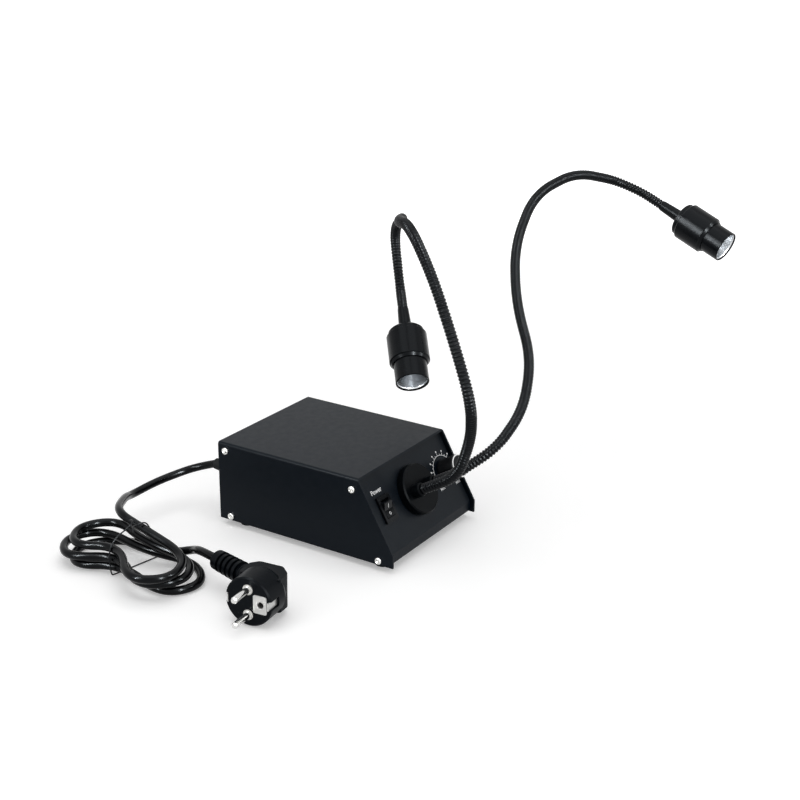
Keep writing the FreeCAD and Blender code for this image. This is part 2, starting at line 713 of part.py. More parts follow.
doc.recompute()

# Electronics: a board on four posts, with a transformer, capacitors and a finned heat sink
chassis_floor = floor_z + sheet_metal
board_z = chassis_floor + size("standoff_height")
board_face = board_z + size("board_thickness")
screw_r = size("screw_dia") / 2
post_bore = screw_r + size("thread_play")
post_list = []
board_bolts = []
for x, y in posts:
    base = Placement(Vector(x, y, chassis_floor), Rotation())
    post = prism_solid([hexagon(0, 0, size("standoff_width"))], size("standoff_height"), base)
    post = post.fuse(turned_solid([(0, -sheet_metal), (screw_r, -sheet_metal), (screw_r, 0.1), (0, 0.1)], base))
    post_list.append(post.cut(turned_solid([(0, 1.0), (post_bore, 1.0), (post_bore, size("standoff_height") + 1),
                                            (0, size("standoff_height") + 1)], base)))
    board_bolts.append(pan_screw(Placement(Vector(x, y, board_face), Rotation()), size("board_thickness") + 4.0))
group("board_standoffs", post_list)
group("board_screws", board_bolts)

board = new_body("circuit_board")
board_at = Placement(Vector(0, 0, board_z), Rotation())
pad(board, sketch_on(board, "XY_Plane", rectangle(0, board_middle_y, size("board_width"), size("board_length"), 2.0),
                     board_at), expression="Sizes.board_thickness")
pocket(board, sketch_on(board, "XY_Plane", [circle(x, y, size("clearance_hole")) for x, y in posts], board_at),
       expression="Sizes.board_thickness * 4")

core_width = 42.0
core_depth = 18.0
core_height = 36.0
leg = 7.0
window = 8.0
transformer_at = Vector(-12.0, 22.0, board_face)
core = Part.makeBox(core_width, core_depth, core_height,
                    transformer_at - Vector(core_width / 2, core_depth / 2, 0))
for side in (-1, 1):
    middle_x = transformer_at.x + side * (core_width / 2 - leg - window / 2)
    core = core.cut(Part.makeBox(window, core_depth, core_height - 2 * leg,
                                 Vector(middle_x - window / 2, transformer_at.y - core_depth / 2,
                                        board_face + leg)))
group("transformer_core", [core])
centre_leg = core_width - 2 * leg - 2 * window
winding_width = centre_leg + 2 * window - 0.6
winding = prism_solid([rectangle(transformer_at.x, transformer_at.y, winding_width, core_depth + 13.0, 3.0),
                       rectangle(transformer_at.x, transformer_at.y, centre_leg + 0.2, core_depth + 0.2)],
                      core_height - 2 * leg - 0.4, Placement(Vector(0, 0, board_face + leg + 0.2), Rotation()))
group("transformer_winding", [winding])

cans = []
for x, y, can_dia, can_height in ((26.0, 40.0, 16.0, 25.0), (26.0, 20.0, 10.0, 16.0), (26.0, 6.0, 10.0, 16.0)):
    can = can_dia / 2
    cans.append(turned_solid([(0, 0), (can, 0), (can, 1.6), (can - 0.5, 2.2), (can, 2.8), (can, can_height - 0.6),
                              (can - 0.6, can_height), (0, can_height)], Placement(Vector(x, y, board_face), Rotation())))
group("capacitors", cans)

fin_count = 7
fin_pitch = 6.0
fin_height = 26.0
sink = Part.makeBox(fin_pitch * (fin_count - 1) + 1.5, 3.0, fin_height, Vector(-32.0, -22.0, board_face))
for fin in range(fin_count):
    sink = sink.fuse(Part.makeBox(1.5, 10.0, fin_height, Vector(-32.0 + fin * fin_pitch, -31.9, board_face)))
group("heat_sink", [sink.removeSplitter()])

terminal = Part.makeBox(30.0, 11.0, 12.0, Vector(-33.0, 44.0, board_face))
terminal_places = [-28.0, -18.0, -8.0]
for x in terminal_places:
    terminal = terminal.cut(Part.makeCylinder(2.4, 3.0, Vector(x, 49.5, board_face + 9.0)))
    terminal = terminal.cut(Part.makeCylinder(1.6, 6.0, Vector(x, 50.0, board_face + 4.0), Vector(0, 1, 0)))
group("terminal_block", [terminal])

# Cord bushing in the rear wall: a flange and a tapered sleeve outside, a clip ring inside
bushing_at = aim((gland_x, rear_y, size("gland_z")), (0, 1, 0))
cord_r = size("cord_dia") / 2
gland_r = size("gland_hole") / 2 - 0.1
gland_inside = 6.0
turned("cord_gland", [(0, -gland_inside), (gland_r, -gland_inside), (gland_r, 0), (gland_r + 3.0, 0), (gland_r + 3.0, 2.2),
                      (gland_r + 1.2, 3.2), (cord_r + 1.2, size("gland_length")), (0, size("gland_length"))],
       bushing_at)
turned("gland_clip", [(gland_r + 0.05, -sheet_metal - 2.4), (gland_r + 2.6, -sheet_metal - 2.4),
                      (gland_r + 2.6, -sheet_metal), (gland_r + 0.05, -sheet_metal)], bushing_at)

# Inner leads: three from the cord's bushing to the terminals, and one from each blade of the switch
wire_dia = 1.6
lead_pitch = 2.4
lead_gap = 0.4
leads = []
for count, x in enumerate(terminal_places):
    start = Vector(gland_x + lead_pitch * (count - 1), rear_y - gland_inside - lead_gap, size("gland_z"))
    finish = Vector(x, 55.0, board_face + 4.0)
    leads.append(tube(route_wire([start, start - Vector(0, 9, 2), finish + Vector(0, 9, 9), finish]), wire_dia))
group("mains_leads", leads)

# Mains cord: the lead from the bushing, its hank, and the tail to the plug
gland_tip = Vector(gland_x, rear_y + size("gland_length"), size("gland_z"))
hank_middle = Vector(-156, 90, 0)
hank_along = Vector(-0.138, -0.99, 0).normalize()
hank_across = Vector(-0.99, 0.138, 0).normalize()
hank_turns = 3
hank_floor = cord_r + 0.2
waist_at = 4.0
waist_half = 10.0
waist_lift = 2.4
tail_side = 15.0
loop_half = 26.0
left_reach = -58.0
right_reach = 65.0
end_depth = 19.0
step = size("cord_layer")


def hank_point(along, across, height, lean=0.0):
    """A point of the hank, turned by some degrees about its waist."""
    lean = math.radians(lean)
    ahead = waist_at + (along - waist_at) * math.cos(lean) - across * math.sin(lean)
    aside = (along - waist_at) * math.sin(lean) + across * math.cos(lean)
    return hank_middle + hank_along * ahead + hank_across * aside + Vector(0, 0, height)


# Each turn lies a layer below the one before; both its lobes lean their own way, and the waist is drawn in
hank_route = [hank_point(waist_at, -waist_half, hank_floor + hank_turns * step + waist_lift)]
for turn in range(hank_turns):
    layer = hank_floor + (hank_turns - 1 - turn) * step
    right_lean = 13.0 - 9.5 * turn
    left_lean = -10.0 - 5.0 * (turn % 2)
    fan = 3.0 - 6.0 * (turn % 2)
    sway = 2.0 + turn % 2
    hank_route += [hank_point(right_reach - 1.3 * end_depth, -loop_half + 1, layer, right_lean),
                   hank_point(right_reach + fan / 2, 0, layer, right_lean),
                   hank_point(right_reach - end_depth + fan, loop_half + sway, layer, right_lean),
                   hank_point(waist_at, waist_half, layer + waist_lift),
                   hank_point(left_reach + end_depth + fan, loop_half, layer, left_lean),
                   hank_point(left_reach + fan, 0, layer, left_lean),
                   hank_point(left_reach + end_depth + fan, -loop_half, layer, left_lean)]
    if turn < hank_turns - 1:
        hank_route.append(hank_point(waist_at, -waist_half, layer - 0.4 * step + waist_lift))
hank_route.append(hank_point(waist_at, -waist_half - tail_side, hank_floor + waist_lift))
hank_start = hank_route[0]
hank_stop = hank_route[-1]

plug_face = Vector(-177.6, -39.6, 18.9)
plug_out = Vector(-0.9917, -0.127, 0.02).normalize()
plug_up = Vector(0.02, 0.0, 1.0)
plug_side = plug_up.cross(plug_out).normalize()
plug_up = plug_out.cross(plug_side).normalize()
plug_turn = Rotation(plug_side, plug_up, plug_out, "ZYX")
relief_tip = Vector(-141.0, 18.0, 20.0)
relief_root = plug_face - plug_out * size("plug_relief_back")
relief_way = (relief_tip - relief_root).normalize()

hank_in = (hank_route[1] - hank_route[0]).normalize()
hank_out = (hank_route[-1] - hank_route[-2]).normalize()
lead_route = [gland_tip, gland_tip + Vector(0, 19.5, 0), Vector(-53, 136.5, 34), Vector(-77, 141, 29),
              Vector(-98, 142, 27), Vector(-118, 140, 28.5), hank_start - hank_in * 28.0, hank_start]
tail_route = [hank_stop, hank_stop + hank_out * 14.0, Vector(-126.5, 52, 12), relief_tip + relief_way * 18.0,
              relief_tip]
for label, points in (("cord_lead", lead_route), ("cord_tail", tail_route)):
    print_route(label, points)
    group(label, [tube(route_wire(points), size("cord_dia"))])
print_route("cord_hank", hank_route)
hank_wire = route_wire(hank_route)
group("cord_hank", [tube(hank_wire, size("cord_dia"), sides=8)])

# The least gap of the hank to itself, between points further apart along the cord than three diameters
spots = hank_wire.discretize(Distance=2.0)
skip = int(3 * size("cord_dia") / 2.0) + 1
least = min(spots[i].distanceToPoint(spots[j]) for i in range(len(spots)) for j in range(i + skip, len(spots)))
print("hank least gap", round(least - size("cord_dia"), 2), "whole cord",
      round(route_wire(lead_route).Length + hank_wire.Length + route_wire(tail_route).Length))

# Wire tie round the hank's waist, with two free ends on top
tie_left = -waist_half - tail_side - cord_r - 2.5
tie_right = waist_half + cord_r + 8.0
tie_low = size("tie_wire") / 2 + 0.1
tie_high = hank_floor + hank_turns * step + waist_lift + cord_r + 2.6
tie_route = [hank_point(waist_at + 16, 4, tie_high + 9), hank_point(waist_at + 9, 2, tie_high + 6),
             hank_point(waist_at + 2.5, -3, tie_high + 1.4), hank_point(waist_at + 1.5, -22, tie_high + 1),
             hank_point(waist_at + 1.5, tie_left - 1, tie_low + 11), hank_point(waist_at + 1.0, tie_left, tie_low),
             hank_point(waist_at, 0, tie_low), hank_point(waist_at - 1.0, tie_right + 1, tie_low),
             hank_point(waist_at - 1.5, tie_right + 1, tie_high - 6), hank_point(waist_at - 2.0, -1, tie_high + 1.4),
             hank_point(waist_at - 8, -9, tie_high + 7), hank_point(waist_at - 15, -10, tie_high + 8)]
group("cord_tie", [tube(route_wire(tie_route), size("tie_wire"))])

# Plug: a round face with two pins and side earth contacts, a hump behind, and a ribbed strain relief
plug_at = Placement(plug_face, plug_turn)
disc_r = size("plug_dia") / 2 - 0.2
disc = turned_solid([(0, -size("plug_depth")), (disc_r - 1.5, -size("plug_depth")), (disc_r, -size("plug_depth") + 3.0),
                     (disc_r, -1.0), (disc_r - 1.0, 0), (0, 0)], plug_at)
hump_turn = Placement(plug_face, plug_turn * Rotation(Vector(1, 0, 0), -90))
hump_half = 12.5
hump_outline = outline([(-17.0, 16.0), (15.5, 16.0), (15.5, 28.0), (7.0, 36.5), (-12.0, 36.5), (-17.0, 31.0)],
                       [2.0, 2.0, 6.0, 5.0, 4.0, 3.0])
hump = prism_solid([hump_outline], 2 * hump_half, Placement(Vector(0, 0, -hump_half), Rotation()))
hump = hump.transformed(hump_turn.toMatrix())
relief_at = aim(relief_root, relief_way)
relief_length = (relief_tip - relief_root).Length
relief_profile = [(0, 8.0), (9.5, 8.0), (8.0, 24.0)]
rib_pitch = 5.0
for rib in range(5):
    rib_start = 26.0 + rib * rib_pitch
    rib_r = 8.2 - 0.1 * rib
    relief_profile += [(rib_r - 2.0, rib_start), (rib_r - 2.0, rib_start + 2.0), (rib_r, rib_start + 2.0),
                       (rib_r - 0.2, rib_start + 4.9)]
relief_profile += [(rib_r - 0.4, relief_length - 1.4), (rib_r - 1.8, relief_length), (0, relief_length)]
relief = turned_solid(relief_profile, relief_at)
plug = disc.fuse(hump).fuse(relief)
earth_across = 10.0
earth_hole = 4.8
contact_width = 6.0
plug = plug.cut(Part.makeCylinder(earth_hole / 2 + 0.6, 14.0, Vector(earth_across, 0, -14.0)).transformed(
    plug_at.toMatrix()))
for side in (-1, 1):
    notch = Part.makeBox(3.2, contact_width + 1.0, 12.0, Vector(side * (disc_r - 1.4) - 1.6,
                                                                 -contact_width / 2 - 0.5, -11.0))
    plug = plug.cut(notch.transformed(plug_at.toMatrix()))
group("plug_body", [plug.removeSplitter()])

pin_r = size("plug_pin_dia") / 2
pins = []
rings = []
pin_collar = pin_r + 0.5
ring_out = pin_collar + 0.9
for side in (-1, 1):
    pin_at = Placement(plug_at.multVec(Vector(0, side * size("plug_pin_spacing") / 2, 0)), plug_turn)
    pins.append(turned_solid([(0, 0), (pin_collar, 0), (pin_collar, 0.8), (pin_r, 0.8),
                              (pin_r, size("plug_pin_length") - 1.0), (pin_r - 0.7, size("plug_pin_length")),
                              (0, size("plug_pin_length"))], pin_at))
    rings.append(turned_solid([(pin_collar + 0.05, 0), (ring_out, 0), (ring_out, 0.6), (pin_collar + 0.05, 0.6)],
                              pin_at))
group("plug_pins", pins)
group("pin_rings", rings)
earth_at = Placement(plug_at.multVec(Vector(earth_across, 0, 0)), plug_turn)
earth_sleeve = turned_solid([(earth_hole / 2, -13.9), (earth_hole / 2 + 0.55, -13.9), (earth_hole / 2 + 0.55, 0.5),
                             (earth_hole / 2, 0.5)], earth_at)
earth_plate = prism_solid([rectangle(-0.5, 0, 10.6, 13.6, 1.5), [circle(0, 0, earth_hole)]], 0.5, earth_at)
contacts = [earth_sleeve.fuse(earth_plate).removeSplitter()]
for side in (-1, 1):
    strip = Part.makeBox(1.0, contact_width, 11.8, Vector(side * (disc_r - 2.4) - 0.5, -contact_width / 2, -10.9))
    contacts.append(strip.transformed(plug_at.toMatrix()))
group("earth_contacts", contacts)

# Every sub-part is checked, then written to its own file
doc.recompute()
for item in doc.Objects:
    if any(word in ("Invalid", "Error") for word in item.State):
        raise RuntimeError(f"{item.Label}: {item.State}")
os.makedirs("parts", exist_ok=True)
for label, feature in parts:
    shape = feature.Shape
    if shape.isNull() or not shape.isValid() or shape.Volume <= 0:
        raise RuntimeError(f"{label}: no valid solid")
    shape.exportStep(f"parts/{label}.step")
    print(label, round(shape.Volume), [round(v, 1) for v in (shape.BoundBox.XMin, shape.BoundBox.YMin,
          shape.BoundBox.ZMin, shape.BoundBox.XMax, shape.BoundBox.YMax, shape.BoundBox.ZMax)])
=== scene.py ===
"""Bench light with two gooseneck lamp heads on a small power box, with its mains lead tied in a hank."""
import math
import bmesh
import bpy
from mathutils import Matrix, Vector


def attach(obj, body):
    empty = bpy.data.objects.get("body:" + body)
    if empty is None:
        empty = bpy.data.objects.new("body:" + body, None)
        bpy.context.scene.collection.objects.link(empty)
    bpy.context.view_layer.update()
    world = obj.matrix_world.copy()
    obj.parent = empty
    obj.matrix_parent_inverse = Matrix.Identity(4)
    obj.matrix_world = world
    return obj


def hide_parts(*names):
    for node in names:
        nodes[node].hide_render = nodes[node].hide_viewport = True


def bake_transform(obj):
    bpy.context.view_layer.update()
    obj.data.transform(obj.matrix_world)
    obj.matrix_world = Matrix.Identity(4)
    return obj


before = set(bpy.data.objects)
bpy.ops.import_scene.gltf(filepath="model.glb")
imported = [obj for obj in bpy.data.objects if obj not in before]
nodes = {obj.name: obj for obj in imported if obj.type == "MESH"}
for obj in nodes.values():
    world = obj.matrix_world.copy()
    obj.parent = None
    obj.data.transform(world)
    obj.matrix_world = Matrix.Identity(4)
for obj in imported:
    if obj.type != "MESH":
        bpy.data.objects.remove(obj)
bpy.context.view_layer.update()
scene = bpy.context.scene
scene.view_settings.view_transform = "Standard"
MM = 0.001

# Camera
# A short telephoto held a little above the bench, on the side where the switch and the hank are.
# Its place, lens and slight roll were fitted to the edges of the box.
camera_place = Vector((-0.86915, -0.60313, 0.50405))
camera_back = Vector((-0.7877, -0.5033, 0.3552)).normalized()
camera_roll = math.radians(0.47)
level_right = Vector((0, 0, 1)).cross(camera_back).normalized()
level_up = camera_back.cross(level_right)
camera_right = level_right * math.cos(camera_roll) + level_up * math.sin(camera_roll)
camera_up = camera_back.cross(camera_right)
lens = bpy.data.cameras.new("photo_camera")
lens.lens = 66.0
lens.sensor_width = 36.0
lens.clip_start = 0.01
camera = bpy.data.objects.new("photo_camera", lens)
scene.collection.objects.link(camera)
turn = Matrix((camera_right, camera_up, camera_back)).transposed()
camera.matrix_world = Matrix.Translation(camera_place) @ turn.to_4x4()
scene.camera = camera

# Studio
# A white sweep under a broad soft box overhead, with narrow strips round the front for the highlights.
# The sweep glows for the camera and in reflections alone, less under the object so its shadow stays.


def new_material(name):
    """A node material, with its tree and its main shader."""
    material = bpy.data.materials.new(name)
    material.use_nodes = True
    tree = material.node_tree
    return material, tree, tree.nodes["Principled BSDF"]


def soft_box(name, place, target, width, height, power, sheen_only=False):
    """An oblong lamp that faces its target; one for sheen alone shows in glossy surfaces and lights nothing else."""
    lamp = bpy.data.lights.new(name, "AREA")
    lamp.shape = "RECTANGLE"
    lamp.size = width
    lamp.size_y = height
    lamp.energy = power
    box = bpy.data.objects.new(name, lamp)
    scene.collection.objects.link(box)
    box.visible_diffuse = not sheen_only
    way = Vector(place) - Vector(target)
    box.matrix_world = Matrix.Translation(place) @ way.to_track_quat("Z", "Y").to_matrix().to_4x4()


soft_box("overhead_box", (0.05, 0.05, 1.5), (0.05, 0, 0), 1.6, 1.6, 11.0)
soft_box("left_box", (-1.5, 0.5, 0.9), (0, 0, 0.1), 0.9, 0.9, 3.0)
soft_box("front_box", (0.6, -1.6, 0.8), (0, 0, 0.1), 0.9, 0.9, 3.0)
soft_box("left_strip", (-1.2, 0.45, 0.8), (0.05, 0, 0.12), 0.07, 1.0, 30.0, True)
soft_box("front_strip", (0.45, -1.4, 0.75), (0.05, 0, 0.12), 0.07, 1.0, 25.0, True)
soft_box("near_strip", (-0.62, -1.2, 0.8), (0.05, 0, 0.12), 0.06, 1.0, 46.0, True)

world = bpy.data.worlds.new("white_room")
scene.world = world
world.use_nodes = True
room = world.node_tree
room_light = room.nodes["Background"]
room_light.inputs["Color"].default_value = (1, 1, 1, 1)
room_rays = room.nodes.new("ShaderNodeLightPath")
room_seen = room.nodes.new("ShaderNodeMath")
room_seen.operation = "ADD"
room_seen.use_clamp = True
room_bounced = room.nodes.new("ShaderNodeMath")
room_bounced.operation = "ADD"
room.links.new(room_rays.outputs["Is Glossy Ray"], room_bounced.inputs[0])
room.links.new(room_rays.outputs["Is Transmission Ray"], room_bounced.inputs[1])
room.links.new(room_rays.outputs["Is Camera Ray"], room_seen.inputs[0])
room.links.new(room_bounced.outputs[0], room_seen.inputs[1])
room_strength = room.nodes.new("ShaderNodeMapRange")
room_strength.inputs["To Min"].default_value = 0.45
room_strength.inputs["To Max"].default_value = 1.0
room.links.new(room_seen.outputs[0], room_strength.inputs["Value"])
room.links.new(room_strength.outputs["Result"], room_light.inputs["Strength"])

floor_mesh = bpy.data.meshes.new("floor")
floor_half = 6.0
floor_mesh.from_pydata([(-floor_half, -floor_half, 0), (floor_half, -floor_half, 0),
                        (floor_half, floor_half, 0), (-floor_half, floor_half, 0)], [], [(0, 1, 2, 3)])
floor = bpy.data.objects.new("floor", floor_mesh)
scene.collection.objects.link(floor)
paper, paper_tree, paper_shader = new_material("white_paper")
paper_shader.inputs["Base Color"].default_value = (0.86, 0.86, 0.86, 1)
paper_shader.inputs["Roughness"].default_value = 0.9
paper_shader.inputs["Specular IOR Level"].default_value = 0.0
paper_rays = paper_tree.nodes.new("ShaderNodeLightPath")
paper_seen = paper_tree.nodes.new("ShaderNodeMath")
paper_seen.operation = "MAXIMUM"
paper_tree.links.new(paper_rays.outputs["Is Camera Ray"], paper_seen.inputs[0])
paper_tree.links.new(paper_rays.outputs["Is Glossy Ray"], paper_seen.inputs[1])
paper_place = paper_tree.nodes.new("ShaderNodeTexCoord")
paper_far = paper_tree.nodes.new("ShaderNodeVectorMath")
paper_far.operation = "LENGTH"
paper_tree.links.new(paper_place.outputs["Object"], paper_far.inputs[0])
paper_sweep = paper_tree.nodes.new("ShaderNodeMapRange")
paper_sweep.interpolation_type = "SMOOTHSTEP"
for label, value in (("From Min", 0.25), ("From Max", 1.3), ("To Min", 0.3), ("To Max", 1.0)):
    paper_sweep.inputs[label].default_value = value
paper_tree.links.new(paper_far.outputs["Value"], paper_sweep.inputs["Value"])
paper_glow = paper_tree.nodes.new("ShaderNodeMath")
paper_glow.operation = "MULTIPLY"
paper_tree.links.new(paper_sweep.outputs["Result"], paper_glow.inputs[1])
paper_tree.links.new(paper_seen.outputs[0], paper_glow.inputs[0])
paper_tree.links.new(paper_glow.outputs[0], paper_shader.inputs["Emission Strength"])
paper_shader.inputs["Emission Color"].default_value = (1, 1, 1, 1)
floor_mesh.materials.append(paper)

# Mains cord
# Black PVC lead, about 1.1 m, held in the rear wall by a gland: over the back of its own hank, into
# the tied waist, round it in loops that step down to the bench, and on to the angled plug.
cord_dia = 6.4
cord_radius = cord_dia / 2
gland_tip = Vector((-38.0, 102.0, 38.0))
hank_middle = Vector((-154.5, 90, 0))
hank_along = Vector((-0.138, -0.99, 0)).normalized()
hank_across = Vector((-0.99, 0.138, 0)).normalized()
hank_turns = 3
hank_floor = cord_radius + 0.2
hank_step = 7.6
waist_at = 4.0
waist_half = 10.0
waist_lift = 2.4
tail_side = 15.0
loop_half = 26.0
left_reach = -55.0
right_reach = 68.0
end_depth = 19.0
lead_in = 28.0
tail_out = 14.0
relief_in = 18.0
plug_face = Vector((-177.6, -39.6, 18.9))
plug_out = Vector((-0.9917, -0.127, 0.02)).normalized()
plug_relief_back = 26.0
relief_tip = Vector((-141.0, 18.0, 20.0))
relief_way = (relief_tip - (plug_face - plug_out * plug_relief_back)).normalized()


def hank_point(along, across, height, lean=0.0):
    """A point of the hank, turned by some degrees about its waist."""
    lean = math.radians(lean)
    ahead = waist_at + (along - waist_at) * math.cos(lean) - across * math.sin(lean)
    aside = (along - waist_at) * math.sin(lean) + across * math.cos(lean)
    return hank_middle + hank_along * ahead + hank_across * aside + Vector((0, 0, height))


hank_route = [hank_point(waist_at, -waist_half, hank_floor + hank_turns * hank_step + waist_lift)]
for loop, (right_lean, left_lean) in enumerate([(15.0, -8.0), (4.0, -17.0), (-10.0, -11.0)]):
    layer = hank_floor + (hank_turns - 1 - loop) * hank_step
    fan = 3.0 - 6.0 * (loop % 2)
    sway = 2.0 + loop % 2
    hank_route += [hank_point(right_reach - 1.3 * end_depth, -loop_half + 1, layer, right_lean),
                   hank_point(right_reach + fan / 2, 0, layer, right_lean),
                   hank_point(right_reach - end_depth + fan, loop_half + sway, layer, right_lean),
                   hank_point(waist_at, waist_half, layer + waist_lift),
                   hank_point(left_reach + end_depth + fan, loop_half, layer, left_lean),
                   hank_point(left_reach + fan, 0, layer, left_lean),
                   hank_point(left_reach + end_depth + fan, -loop_half, layer, left_lean)]
    if loop < hank_turns - 1:
        hank_route.append(hank_point(waist_at, -waist_half, layer - 0.4 * hank_step + waist_lift))
hank_route.append(hank_point(waist_at, -waist_half - tail_side, hank_floor + waist_lift))
hank_in = (hank_route[1] - hank_route[0]).normalized()
hank_out = (hank_route[-1] - hank_route[-2]).normalized()
lead_route = [gland_tip, Vector((-38, 121.5, 31)), Vector((-60, 135, 26)), Vector((-77, 138, 25)),
              Vector((-98, 139.5, 23.5)), Vector((-114, 131.5, 29.5)), hank_route[0] - hank_in * lead_in]
tail_route = [hank_route[-1] + hank_out * tail_out, Vector((-126.5, 52, 12)),
              relief_tip + relief_way * relief_in, relief_tip]


def smooth_curve(name, points, radius, sides=6):
    """A round tube on one smooth line that is guided by its points, in millimetres."""
    curve = bpy.data.curves.new(name, "CURVE")
    curve.dimensions = "3D"
    line = curve.splines.new("NURBS")
    line.points.add(len(points) - 1)
    for knot, point in zip(line.points, points):
        knot.co = (*(Vector(point) * MM), 1)
    line.order_u = 3
    line.use_endpoint_u = True
    line.resolution_u = 12
    curve.bevel_depth = radius * MM
    curve.bevel_resolution = sides
    curve.use_fill_caps = True
    obj = bpy.data.objects.new(name, curve)
    scene.collection.objects.link(obj)
    return obj


def add_noise(tree, scale, detail=3.0, coordinates=None):
    """Noise on the piece's own coordinates, at a scale per metre."""
    place = tree.nodes.new("ShaderNodeTexCoord")
    noise = tree.nodes.new("ShaderNodeTexNoise")
    noise.inputs["Scale"].default_value = scale
    noise.inputs["Detail"].default_value = detail
    tree.links.new(place.outputs["Object"], noise.inputs["Vector"])
    return noise


def finish(name, color, roughness, grain=0.0, grain_scale=1500.0, shade=0.15, shade_scale=60.0, rough_spread=0.08,
           metallic=0.0, specular=0.5):
    """A finish with cloudy changes of tone and gloss, and a fine grain in the surface."""
    material, tree, shader = new_material(name)
    cloud = add_noise(tree, shade_scale)
    tone = tree.nodes.new("ShaderNodeMapRange")
    tone.inputs["To Min"].default_value = 1 - shade
    tone.inputs["To Max"].default_value = 1 + shade
    tree.links.new(cloud.outputs["Fac"], tone.inputs["Value"])
    tint = tree.nodes.new("ShaderNodeMix")
    tint.data_type = "RGBA"
    tint.blend_type = "MULTIPLY"
    tint.inputs["Factor"].default_value = 1.0
    tint.inputs["A"].default_value = (*color, 1)
    tree.links.new(tone.outputs["Result"], tint.inputs["B"])
    tree.links.new(tint.outputs["Result"], shader.inputs["Base Color"])
    gloss = tree.nodes.new("ShaderNodeMapRange")
    gloss.inputs["To Min"].default_value = max(roughness - rough_spread, 0.02)
    gloss.inputs["To Max"].default_value = min(roughness + rough_spread, 1.0)
    wear = add_noise(tree, shade_scale * 3.1)
    tree.links.new(wear.outputs["Fac"], gloss.inputs["Value"])
    tree.links.new(gloss.outputs["Result"], shader.inputs["Roughness"])
    shader.inputs["Metallic"].default_value = metallic
    shader.inputs["Specular IOR Level"].default_value = specular
    if metallic == 0.0:
        shader.inputs["Specular Tint"].default_value = (0.88, 0.95, 1.0, 1)
    if grain:
        fine = add_noise(tree, grain_scale, 2.0)
        bump = tree.nodes.new("ShaderNodeBump")
        bump.inputs["Strength"].default_value = grain
        bump.inputs["Distance"].default_value = 0.0002
        tree.links.new(fine.outputs["Fac"], bump.inputs["Height"])
        tree.links.new(bump.outputs["Normal"], shader.inputs["Normal"])
    return material


def dress(material, *names):
    """Gives carried-over pieces a finish."""
    for name in names:
        mesh = nodes[name].data
        mesh.materials.clear()
        mesh.materials.append(material)


cord = smooth_curve("mains_cord", lead_route + hank_route + tail_route, cord_radius)
cord_pvc = finish("cord_pvc", (0.002, 0.002, 0.0024), 0.2, grain=0.03, grain_scale=900.0, specular=0.12)
cord.data.materials.append(cord_pvc)
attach(cord, "box")
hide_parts("cord_lead", "cord_hank", "cord_tail")

# Wire tie
# A thin wire in black plastic, wrapped once round the hank's waist from the bench up, with its two
# ends crossed and bent over on top.
tie_dia = 1.1
tie_floor = tie_dia / 2 + 0.1
tie_near = waist_half + cord_radius + 7.9
tie_far = -waist_half - tail_side - 4.3
tie_top = hank_floor + hank_turns * hank_step + 6.8
tie_route = [hank_point(waist_at + 8, 5, tie_top + 0.2), hank_point(waist_at + 4.5, 3, tie_top + 2.6),
             hank_point(waist_at + 0.8, -2, tie_top), hank_point(waist_at + 1.5, -13.5, tie_top + 1.0),
             hank_point(waist_at + 1.5, -18, 17), hank_point(waist_at + 1.5, tie_far, 10.5),
             hank_point(waist_at + 1.2, tie_far, tie_floor + 0.6), hank_point(waist_at + 1.0, tie_far + 4, tie_floor),
             hank_point(waist_at, 0, tie_floor), hank_point(waist_at - 0.8, tie_near - 4, tie_floor),
             hank_point(waist_at - 1.0, tie_near, tie_floor + 0.6), hank_point(waist_at - 1.2, tie_near, 27),
             hank_point(waist_at - 0.8, -2, tie_top + 1.3), hank_point(waist_at - 5, -5, tie_top + 3.0),
             hank_point(waist_at - 8.5, -5, tie_top + 0.8)]
tie = smooth_curve("hank_tie", tie_route, tie_dia / 2, 4)
tie.data.materials.append(finish("tie_strip", (0.004, 0.004, 0.005), 0.3, specular=0.2))
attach(tie, "box")
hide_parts("cord_tie")

# Plug
# A moulded rubber-like angled plug on the end of the lead, with two plated pins set in pale rings
# and sprung earth contacts let into its rim and its face.
plug_rubber = finish("plug_rubber", (0.0015, 0.0025, 0.004), 0.34, grain=0.06, grain_scale=1100.0, specular=0.06)
plated = finish("plated_brass", (0.68, 0.68, 0.67), 0.14, metallic=1.0, shade=0.08, rough_spread=0.05)
ring_plastic = finish("ring_plastic", (0.6, 0.59, 0.56), 0.5)
dress(plug_rubber, "plug_body")
spring_plate = finish("spring_plate", (0.5, 0.5, 0.49), 0.34, metallic=1.0, shade=0.12, shade_scale=220.0)
dress(plated, "plug_pins")
dress(spring_plate, "earth_contacts")
dress(ring_plastic, "pin_rings")

# Box
# A steel cover folded over a folded steel chassis, both in black satin powder coat, held by four
# plated pan head screws in each side.
coat = finish("powder_coat", (0.0006, 0.0028, 0.0062), 0.38, grain=0.12, grain_scale=1400.0,
              shade=0.08, specular=0.1)
dress(coat, "top_cover", "base_chassis")
dress(plated, "foot_screws", "arm_nuts", "dimmer_nut", "gland_clip")
head_radius, head_tall, shank_radius, shank_long = 2.8, 1.9, 1.45, 5.0
recess_length, recess_length_top = 1.5, 3.5
recess_width, recess_width_top = 0.55, 0.8
recess_depth, recess_over = 1.15, 0.5
screw_pole = 0.02
screw_places = [(73.8, 63.1), (70.2, 8.5), (-44.85, 60.3), (-68.5, 8.5)]
box_side = 60.0


